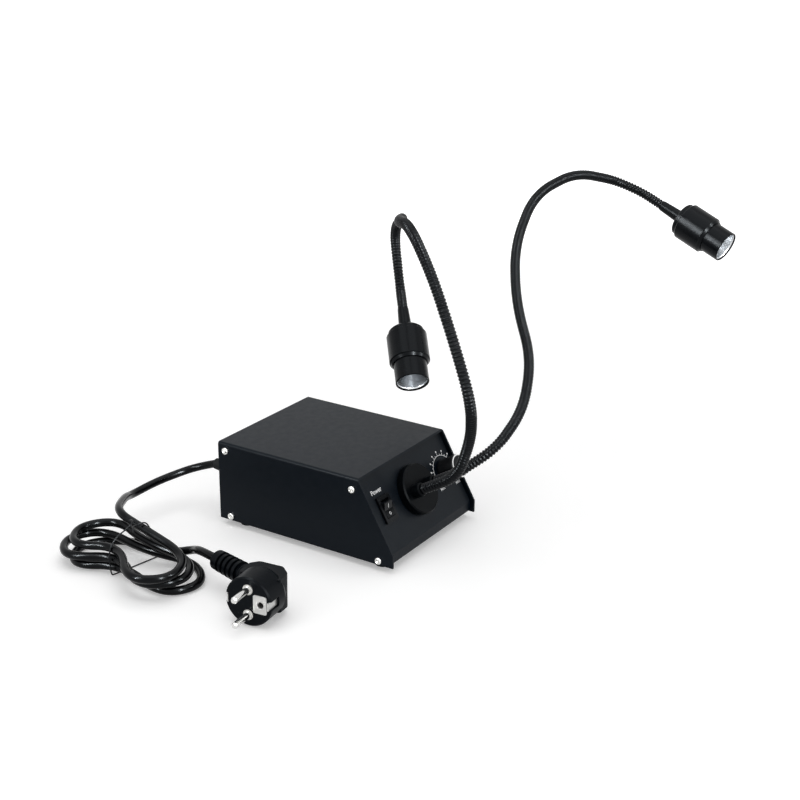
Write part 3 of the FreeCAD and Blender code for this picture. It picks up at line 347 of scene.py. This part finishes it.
def turned_mesh(profile, place, sides=96):
    """A closed ring turned from an outline of radius and height, about the local Z axis of its place."""
    mesh = bmesh.new()
    rings = []
    for step in range(sides):
        angle = 2 * math.pi * step / sides
        rings.append([mesh.verts.new(place @ Vector((r * math.cos(angle) * MM, r * math.sin(angle) * MM, z * MM)))
                      for r, z in profile])
    for step in range(sides):
        here, after = rings[step], rings[(step + 1) % sides]
        for k in range(len(profile)):
            n = (k + 1) % len(profile)
            mesh.faces.new((here[k], after[k], after[n], here[n]))
    bmesh.ops.recalc_face_normals(mesh, faces=mesh.faces)
    for face in mesh.faces:
        face.smooth = True
    data = bpy.data.meshes.new("turned")
    mesh.to_mesh(data)
    mesh.free()
    return data


def made_mesh(name, source, tree, values=()):
    """Runs a node tree on an object and keeps the result as a plain mesh under its own name."""
    modifier = source.modifiers.new("grow", "NODES")
    modifier.node_group = tree
    sockets = {item.name: item.identifier for item in tree.interface.items_tree if item.in_out == "INPUT"}
    for label, value in values:
        modifier[sockets[label]] = value
    bpy.context.view_layer.update()
    evaluated = source.evaluated_get(bpy.context.evaluated_depsgraph_get())
    mesh = bpy.data.meshes.new_from_object(evaluated)
    bpy.data.objects.remove(source)
    obj = bpy.data.objects.new(name, mesh)
    scene.collection.objects.link(obj)
    return obj


def pan_head():
    """A pan head screw with a cross recess, standing on the origin."""
    outline = [(screw_pole, -shank_long), (shank_radius, -shank_long), (shank_radius, 0), (head_radius, 0)]
    outline += [(head_radius, head_tall * 0.42), (head_radius * 0.93, head_tall * 0.66),
                (head_radius * 0.8, head_tall * 0.84), (head_radius * 0.5, head_tall * 0.97), (screw_pole, head_tall)]
    body = bpy.data.objects.new("screw_body", turned_mesh(outline, Matrix.Identity(4), 40))
    cutter_mesh = bmesh.new()
    for turned in (0, 90):
        blade = bmesh.ops.create_cube(cutter_mesh, size=1.0)["verts"]
        for vertex in blade:
            deep = vertex.co.z < 0
            vertex.co.x *= (recess_length if deep else recess_length_top) * MM
            vertex.co.y *= (recess_width if deep else recess_width_top) * MM
            vertex.co.z = ((head_tall - recess_depth) if deep else (head_tall + recess_over)) * MM
        bmesh.ops.rotate(cutter_mesh, verts=blade, cent=(0, 0, 0),
                         matrix=Matrix.Rotation(math.radians(turned), 3, "Z"))
    cutter_data = bpy.data.meshes.new("cross")
    cutter_mesh.to_mesh(cutter_data)
    cutter_mesh.free()
    cutter = bpy.data.objects.new("cross", cutter_data)
    for obj in (body, cutter):
        scene.collection.objects.link(obj)
    cut = body.modifiers.new("recess", "BOOLEAN")
    cut.operation = "DIFFERENCE"
    cut.use_self = True
    cut.object = cutter
    bpy.context.view_layer.update()
    mesh = bpy.data.meshes.new_from_object(body.evaluated_get(bpy.context.evaluated_depsgraph_get()))
    bpy.data.objects.remove(body)
    bpy.data.objects.remove(cutter)
    obj = bpy.data.objects.new("pan_head", mesh)
    scene.collection.objects.link(obj)
    return obj


def screw_tree(material):
    """Sets one screw on each point, turned as the point's own turn says."""
    tree = bpy.data.node_groups.new("cover_screw_set", "GeometryNodeTree")
    tree.interface.new_socket("Geometry", in_out="INPUT", socket_type="NodeSocketGeometry")
    tree.interface.new_socket("Screw", in_out="INPUT", socket_type="NodeSocketObject")
    tree.interface.new_socket("Geometry", in_out="OUTPUT", socket_type="NodeSocketGeometry")
    give = tree.nodes.new("NodeGroupInput")
    take = tree.nodes.new("NodeGroupOutput")
    pick = tree.nodes.new("GeometryNodeObjectInfo")
    tree.links.new(give.outputs["Screw"], pick.inputs["Object"])
    turn = tree.nodes.new("GeometryNodeInputNamedAttribute")
    turn.data_type = "FLOAT_VECTOR"
    turn.inputs["Name"].default_value = "turn"
    put = tree.nodes.new("GeometryNodeInstanceOnPoints")
    tree.links.new(give.outputs["Geometry"], put.inputs["Points"])
    tree.links.new(pick.outputs["Geometry"], put.inputs["Instance"])
    tree.links.new(turn.outputs["Attribute"], put.inputs["Rotation"])
    realize = tree.nodes.new("GeometryNodeRealizeInstances")
    paint = tree.nodes.new("GeometryNodeSetMaterial")
    paint.inputs["Material"].default_value = material
    tree.links.new(put.outputs["Instances"], realize.inputs["Geometry"])
    tree.links.new(realize.outputs["Geometry"], paint.inputs["Geometry"])
    tree.links.new(paint.outputs["Geometry"], take.inputs["Geometry"])
    return tree


bright_nickel = finish("bright_nickel", (0.78, 0.78, 0.76), 0.2, metallic=1.0, shade=0.06, rough_spread=0.05)
spots = bpy.data.meshes.new("screw_spots")
spots.from_pydata([(sign * box_side * MM, y * MM, z * MM) for sign in (-1, 1) for y, z in screw_places], [], [])
turns = spots.attributes.new("turn", "FLOAT_VECTOR", "POINT")
for index, value in enumerate(turns.data):
    sign = -1 if index < len(screw_places) else 1
    rolled = Matrix.Rotation(sign * math.pi / 2, 3, "Y") @ Matrix.Rotation(math.radians(25 + 37 * index), 3, "Z")
    value.vector = rolled.to_euler()
spots_object = bpy.data.objects.new("screw_spots", spots)
scene.collection.objects.link(spots_object)
head = pan_head()
screws = made_mesh("cover_screw_set", spots_object, screw_tree(bright_nickel), [("Screw", head)])
bpy.data.objects.remove(head)
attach(screws, "box")
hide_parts("cover_screws")
rubber = finish("foot_rubber", (0.005, 0.005, 0.005), 0.7, grain=0.3, grain_scale=700.0, specular=0.15)
dress(rubber, "rubber_feet", "cord_gland")

# Arms
# Steel gooseneck, 8 mm across, sheathed in black, with a rib every 2.7 mm. Each arm stands in a
# socket on the hub and ends in the ferrule of its lamp head; it is drawn in three spans.
arm_dia = 8.0
rib_pitch = 2.7
rib_depth = 0.8
rib_proud = 0.2
rib_sharpness = 1.7
rings_per_rib = 9.0
ring_sides = 28
arc_share = 0.45
arc_step = 1.0
socket_offset = 9.0
socket_top = 15.0
box_half = 81.0
roof_z = 69.5
nose_z = 15.0
front_angle = math.radians(60.0)
panel_recess = 3.4
control_drop = 30.5
roof_front_y = -box_half + (roof_z - nose_z) / math.tan(front_angle)
slope_out = Vector((0, -math.sin(front_angle), math.cos(front_angle)))
slope_down = Vector((0, -math.cos(front_angle), -math.sin(front_angle)))


def panel_point(x, drop, out=0.0):
    """A point of the sloping panel: across, down from the cover's front edge, and out of the sheet."""
    return Vector((x, roof_front_y, roof_z)) + slope_down * drop + slope_out * (out - panel_recess)


head_axis = {"left": Vector((-0.586, -0.511, -0.629)).normalized(),
             "right": Vector((-0.124, -0.919, -0.374)).normalized()}
ferrule_start = {"left": Vector((86, 5, 152)), "right": Vector((311, -119, 210))}
first_run = {"left": 34.0, "right": 22.0}
last_run = {"left": 28.0, "right": 23.0}
arm_points = {
    "left": [(-14, -118, 101.5), (-38.5, -131.5, 138.5), (-37, -115.5, 180), (-23, -88.5, 220.5), (-4, -57, 249),
             (30, -25.5, 240.5), (70, -5, 232.5), (97, 21.5, 214.5)],
    "right": [(27, -117, 79.5), (66.5, -118, 98.5), (99.5, -105.5, 127.5), (130, -74, 161.5), (166, -52, 196),
              (212.5, -44, 229), (264.5, -56.5, 240), (303.5, -76, 228.5)],
}


def rounded_line(points, first, last):
    """Points along runs joined by arcs, from half way before one corner to half way after another."""
    line = [points[0] if first == 0 else (points[first] + points[first + 1]) / 2]
    for corner in range(first + 1, last + 2):
        here = points[corner]
        back = points[corner - 1] - here
        ahead = points[corner + 1] - here
        reach = arc_share * min(back.length, ahead.length)
        turned = math.pi - back.angle(ahead)
        radius = reach / math.tan(turned / 2)
        back.normalize()
        ahead.normalize()
        side = (back + ahead).normalized()
        hub = here + side * (radius / math.cos(turned / 2))
        spoke = here + back * reach - hub
        axle = spoke.cross(here + ahead * reach - hub).normalized()
        steps = max(4, math.ceil(turned * radius / arc_step))
        for step in range(steps + 1):
            line.append(hub + Matrix.Rotation(turned * step / steps, 3, axle) @ spoke)
    line.append(points[-1] if last + 2 == len(points) - 1 else (points[last + 1] + points[last + 2]) / 2)
    return line


def rib_tree(material):
    """Turns a line into conduit whose radius swells and pinches once in each rib."""
    tree = bpy.data.node_groups.new("conduit_ribs", "GeometryNodeTree")
    tree.interface.new_socket("Geometry", in_out="INPUT", socket_type="NodeSocketGeometry")
    for label, value in (("Radius", (arm_dia / 2 + rib_proud) * MM), ("Rib pitch", rib_pitch * MM),
                         ("Rib depth", rib_depth * MM), ("Start", 0.0), ("Rings per rib", rings_per_rib)):
        socket = tree.interface.new_socket(label, in_out="INPUT", socket_type="NodeSocketFloat")
        socket.default_value = value
    tree.interface.new_socket("Geometry", in_out="OUTPUT", socket_type="NodeSocketGeometry")
    give = tree.nodes.new("NodeGroupInput")
    take = tree.nodes.new("NodeGroupOutput")

    def math_node(kind, a, b=None):
        node = tree.nodes.new("ShaderNodeMath")
        node.operation = kind
        for slot, value in ((0, a), (1, b)):
            if isinstance(value, (int, float)):
                node.inputs[slot].default_value = value
            elif value is not None:
                tree.links.new(value, node.inputs[slot])
        return node.outputs[0]

    resample = tree.nodes.new("GeometryNodeResampleCurve")
    resample.mode = "LENGTH"
    tree.links.new(give.outputs["Geometry"], resample.inputs["Curve"])
    tree.links.new(math_node("DIVIDE", give.outputs["Rib pitch"], give.outputs["Rings per rib"]),
                   resample.inputs["Length"])
    along = tree.nodes.new("GeometryNodeSplineParameter")
    phase = math_node("DIVIDE", math_node("ADD", along.outputs["Length"], give.outputs["Start"]),
                      give.outputs["Rib pitch"])
    wave = math_node("ABSOLUTE", math_node("SINE", math_node("MULTIPLY", phase, math.pi)))
    crest = math_node("POWER", wave, rib_sharpness)
    valley = math_node("SUBTRACT", give.outputs["Radius"], give.outputs["Rib depth"])
    radius = math_node("ADD", valley, math_node("MULTIPLY", give.outputs["Rib depth"], crest))
    ring = tree.nodes.new("GeometryNodeCurvePrimitiveCircle")
    ring.inputs["Resolution"].default_value = ring_sides
    ring.inputs["Radius"].default_value = 1.0
    sweep = tree.nodes.new("GeometryNodeCurveToMesh")
    sweep.inputs["Fill Caps"].default_value = True
    tree.links.new(resample.outputs["Curve"], sweep.inputs["Curve"])
    tree.links.new(ring.outputs["Curve"], sweep.inputs["Profile Curve"])
    tree.links.new(radius, sweep.inputs["Scale"])
    realize = tree.nodes.new("GeometryNodeRealizeInstances")
    paint = tree.nodes.new("GeometryNodeSetMaterial")
    paint.inputs["Material"].default_value = material
    tree.links.new(sweep.outputs["Mesh"], realize.inputs["Geometry"])
    tree.links.new(realize.outputs["Geometry"], paint.inputs["Geometry"])
    tree.links.new(paint.outputs["Geometry"], take.inputs["Geometry"])
    return tree


conduit_black = finish("conduit_black", (0.0018, 0.002, 0.0028), 0.22, grain=0.0, shade=0.1, specular=0.11)
conduit = rib_tree(conduit_black)
spans = (("lower", 0, 2, "box", "first"), ("middle", 3, 6, "first", "second"), ("upper", 7, 9, "second", "head"))
for side in ("left", "right"):
    sign = -1 if side == "left" else 1
    root = panel_point(sign * socket_offset, control_drop, socket_top)
    route = [root, root + slope_out * first_run[side]] + [Vector(point) for point in arm_points[side]]
    route += [ferrule_start[side] - head_axis[side] * last_run[side], ferrule_start[side]]
    travelled = 0.0
    for span, first, last, before, after in spans:
        line = rounded_line(route, first, last)
        curve = bpy.data.curves.new(f"{side}_{span}_line", "CURVE")
        curve.dimensions = "3D"
        spline = curve.splines.new("POLY")
        spline.points.add(len(line) - 1)
        for knot, point in zip(spline.points, line):
            knot.co = (*(point * MM), 1)
        guide = bpy.data.objects.new(f"{side}_{span}_line", curve)
        scene.collection.objects.link(guide)
        piece = made_mesh(f"{side}_{span}_conduit", guide, conduit, [("Start", travelled * MM)])
        travelled += sum((b - a).length for a, b in zip(line, line[1:]))
        for face in piece.data.polygons:
            face.use_smooth = True
        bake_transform(piece)
        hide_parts(f"{side}_arm_{span}")

# Hub and sockets
# A turned black disc flat on the panel, with a plain collar for each arm that passes through it and
# is held by a nut behind.
hub_black = finish("hub_black", (0.0012, 0.0018, 0.0025), 0.34, grain=0.05, shade=0.08, specular=0.05)
dress(hub_black, "arm_hub", "left_arm_socket", "right_arm_socket")

# Lamp heads
# Turned aluminium, black anodised: a ferrule, a rear cap, a body and a front tube in line, with a
# bright reflector in the tube and a white board behind it that carries the lamp.
anodised = finish("black_anodised", (0.0025, 0.003, 0.004), 0.26, grain=0.03, shade=0.08, specular=0.09)
bright = finish("polished_reflector", (0.6, 0.62, 0.64), 0.24, metallic=1.0, shade=0.04, rough_spread=0.05)
board_white = finish("board_white", (0.78, 0.78, 0.75), 0.5)
lens_clear = finish("lens_clear", (0.85, 0.8, 0.45), 0.1)
ferrule_long = 21.0
throat_at, throat_radius = 13.1, 4.5
rim_at, rim_radius = 46.8, 12.3
cup_skin = 0.4
cup_steps = 24
for side in ("left", "right"):
    dress(anodised, f"{side}_head_ferrule", f"{side}_rear_cap", f"{side}_lamp_body", f"{side}_front_tube")
    rear = ferrule_start[side] + head_axis[side] * ferrule_long
    head_place = Matrix.Translation(rear * MM) @ head_axis[side].to_track_quat("Z", "Y").to_matrix().to_4x4()
    inner = []
    for step in range(cup_steps + 1):
        deep = step / cup_steps
        bowl = math.sqrt(throat_radius ** 2 + (rim_radius - cup_skin) ** 2 * deep - throat_radius ** 2 * deep)
        inner.append((bowl, throat_at + (rim_at - throat_at) * deep))
    outer = [(r + cup_skin, z) for r, z in reversed(inner)]
    cup = bpy.data.objects.new(f"{side}_bright_cup", turned_mesh(inner + outer, head_place))
    cup.data.materials.append(bright)
    scene.collection.objects.link(cup)
    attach(cup, f"{side}_head")
    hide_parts(f"{side}_reflector")
    dress(board_white, f"{side}_led_board")
    dress(lens_clear, f"{side}_led_lens")

# Knob
# A moulded black knob pushed on the dimmer's shaft, with a thin silver ring let into its front rim.
knob_black = finish("knob_black", (0.003, 0.003, 0.0035), 0.4, grain=0.06, specular=0.1)
silver = finish("silver_ring", (0.8, 0.8, 0.8), 0.2, metallic=1.0, shade=0.05)
dress(knob_black, "knob", "dimmer_body")
dress(silver, "knob_ring", "dimmer_shaft")

# Switch
# A rocker switch in gloss black, snapped into the panel, with plated tags behind.
switch_black = finish("switch_black", (0.0025, 0.003, 0.004), 0.24, shade=0.05, specular=0.14)
dress(switch_black, "switch_frame", "switch_rocker")
dress(plated, "switch_terminals")

# Panel lettering
# White printed marks: the switch's name, the dial with its dots and ticks, and both ends of the dial.
print_height = 0.06
word_spread = 0.018
white_ink = finish("white_ink", (0.9, 0.9, 0.9), 0.55, shade=0.04)
panel_turn = Matrix(((1, 0, 0), -slope_down, slope_out)).transposed().to_4x4()


def panel_matrix(x, drop, out=print_height):
    """The place and turn of something flat on the sloping panel."""
    return Matrix.Translation(panel_point(x, drop, out) * MM) @ panel_turn


def flat_word(name, text, width, matrix, body):
    """A printed word of a given width, centred on its place."""
    curve = bpy.data.curves.new(name, "FONT")
    curve.body = text
    curve.align_x = "CENTER"
    curve.align_y = "CENTER"
    curve.size = 1.0
    curve.offset = word_spread
    source = bpy.data.objects.new(name, curve)
    scene.collection.objects.link(source)
    bpy.context.view_layer.update()
    mesh = bpy.data.meshes.new_from_object(source.evaluated_get(bpy.context.evaluated_depsgraph_get()))
    bpy.data.objects.remove(source)
    xs = [vertex.co.x for vertex in mesh.vertices]
    ys = [vertex.co.y for vertex in mesh.vertices]
    scale = width * MM / (max(xs) - min(xs))
    centre = Vector(((max(xs) + min(xs)) / 2, (max(ys) + min(ys)) / 2, 0))
    mesh.transform(matrix @ Matrix.Scale(scale, 4) @ Matrix.Translation(-centre))
    mesh.materials.clear()
    mesh.materials.append(white_ink)
    obj = bpy.data.objects.new(name, mesh)
    scene.collection.objects.link(obj)
    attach(obj, body)
    return obj


flat_word("power_word", "Power", 13.2, panel_matrix(-42.1, 15.3), "box")
flat_word("min_word", "MIN", 5.6, panel_matrix(32.8, 41.6), "box")
flat_word("max_word", "MAX", 6.2, panel_matrix(54.2, 43.6), "box")

switch_x = -40.0
pivot_depth = 3.0
rocker_tilt = math.radians(12.0)
rocker_pivot = panel_point(switch_x, control_drop, -pivot_depth)
rocker_turn = panel_turn @ Matrix.Rotation(rocker_tilt, 4, "X")
face_rise, face_run, face_low = 1.6, 5.45, 5.0
for mark, word, up, width in (("on_mark", "I", 2.9, 0.6), ("off_mark", "O", -2.9, 2.3)):
    lean = math.atan2(face_rise, face_run) * (1 if up > 0 else -1)
    middle = Matrix.Translation((0, up * MM, (face_low + abs(up) * face_rise / face_run + print_height) * MM))
    flat_word(mark, word, width, Matrix.Translation(rocker_pivot * MM) @ rocker_turn @ middle
              @ Matrix.Rotation(lean, 4, "X"), "rocker")

dial_mesh = bmesh.new()
dial_x = 43.6
arc_radius = 13.1
arc_width = 0.45
dial_start, dial_end, arc_piece = 55, 305, 5
tick_count, tick_apart = 21, 12.5
tick_long, tick_short, tick_half = 15.3, 14.4, 0.22
dot_at, dot_radius, dot_sides = 16.5, 0.75, 16


def dial_spot(radius, degrees):
    """A point of the dial: degrees run clockwise from straight down."""
    angle = math.radians(degrees)
    return Vector((-radius * math.sin(angle), -radius * math.cos(angle), 0))


def dial_face(corners):
    """One flat face of the dial's print."""
    dial_mesh.faces.new([dial_mesh.verts.new(corner * MM) for corner in corners])


for degree in range(dial_start, dial_end, arc_piece):
    inner, outer = arc_radius - arc_width / 2, arc_radius + arc_width / 2
    dial_face([dial_spot(inner, degree), dial_spot(inner, degree + arc_piece),
               dial_spot(outer, degree + arc_piece), dial_spot(outer, degree)])
for index in range(tick_count):
    degree = dial_start + tick_apart * index
    major = index % 2 == 0
    far = tick_long if major else tick_short
    across = dial_spot(1, degree + 90) * tick_half
    dial_face([dial_spot(arc_radius, degree) - across, dial_spot(far, degree) - across,
               dial_spot(far, degree) + across, dial_spot(arc_radius, degree) + across])
    if major:
        middle = dial_spot(dot_at, degree)
        ring = [middle + Vector((dot_radius * math.cos(k * math.pi / 8), dot_radius * math.sin(k * math.pi / 8), 0))
                for k in range(dot_sides)]
        dial_face(ring)
bmesh.ops.remove_doubles(dial_mesh, verts=dial_mesh.verts, dist=1e-7)
bmesh.ops.recalc_face_normals(dial_mesh, faces=dial_mesh.faces)
for face in dial_mesh.faces:
    if face.normal.z < 0:
        face.normal_flip()
dial_data = bpy.data.meshes.new("dial_print")
dial_mesh.to_mesh(dial_data)
dial_mesh.free()
dial_data.transform(panel_matrix(dial_x, control_drop))
dial_data.materials.append(white_ink)
dial = bpy.data.objects.new("dial_print", dial_data)
scene.collection.objects.link(dial)
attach(dial, "box")

# Inside
# A green board on standoffs with its transformer, capacitors and heat sink, and a terminal block for
# the mains leads. None of it is in the photo.
board_green = finish("board_green", (0.04, 0.2, 0.09), 0.45)
dress(board_green, "circuit_board")
dress(plated, "board_standoffs", "board_screws", "transformer_core", "heat_sink")
dress(finish("winding_tape", (0.6, 0.45, 0.08), 0.5), "transformer_winding")
dress(finish("can_sleeve", (0.03, 0.06, 0.2), 0.35), "capacitors")
dress(finish("terminal_grey", (0.35, 0.37, 0.37), 0.5), "terminal_block")
dress(cord_pvc, "mains_leads")
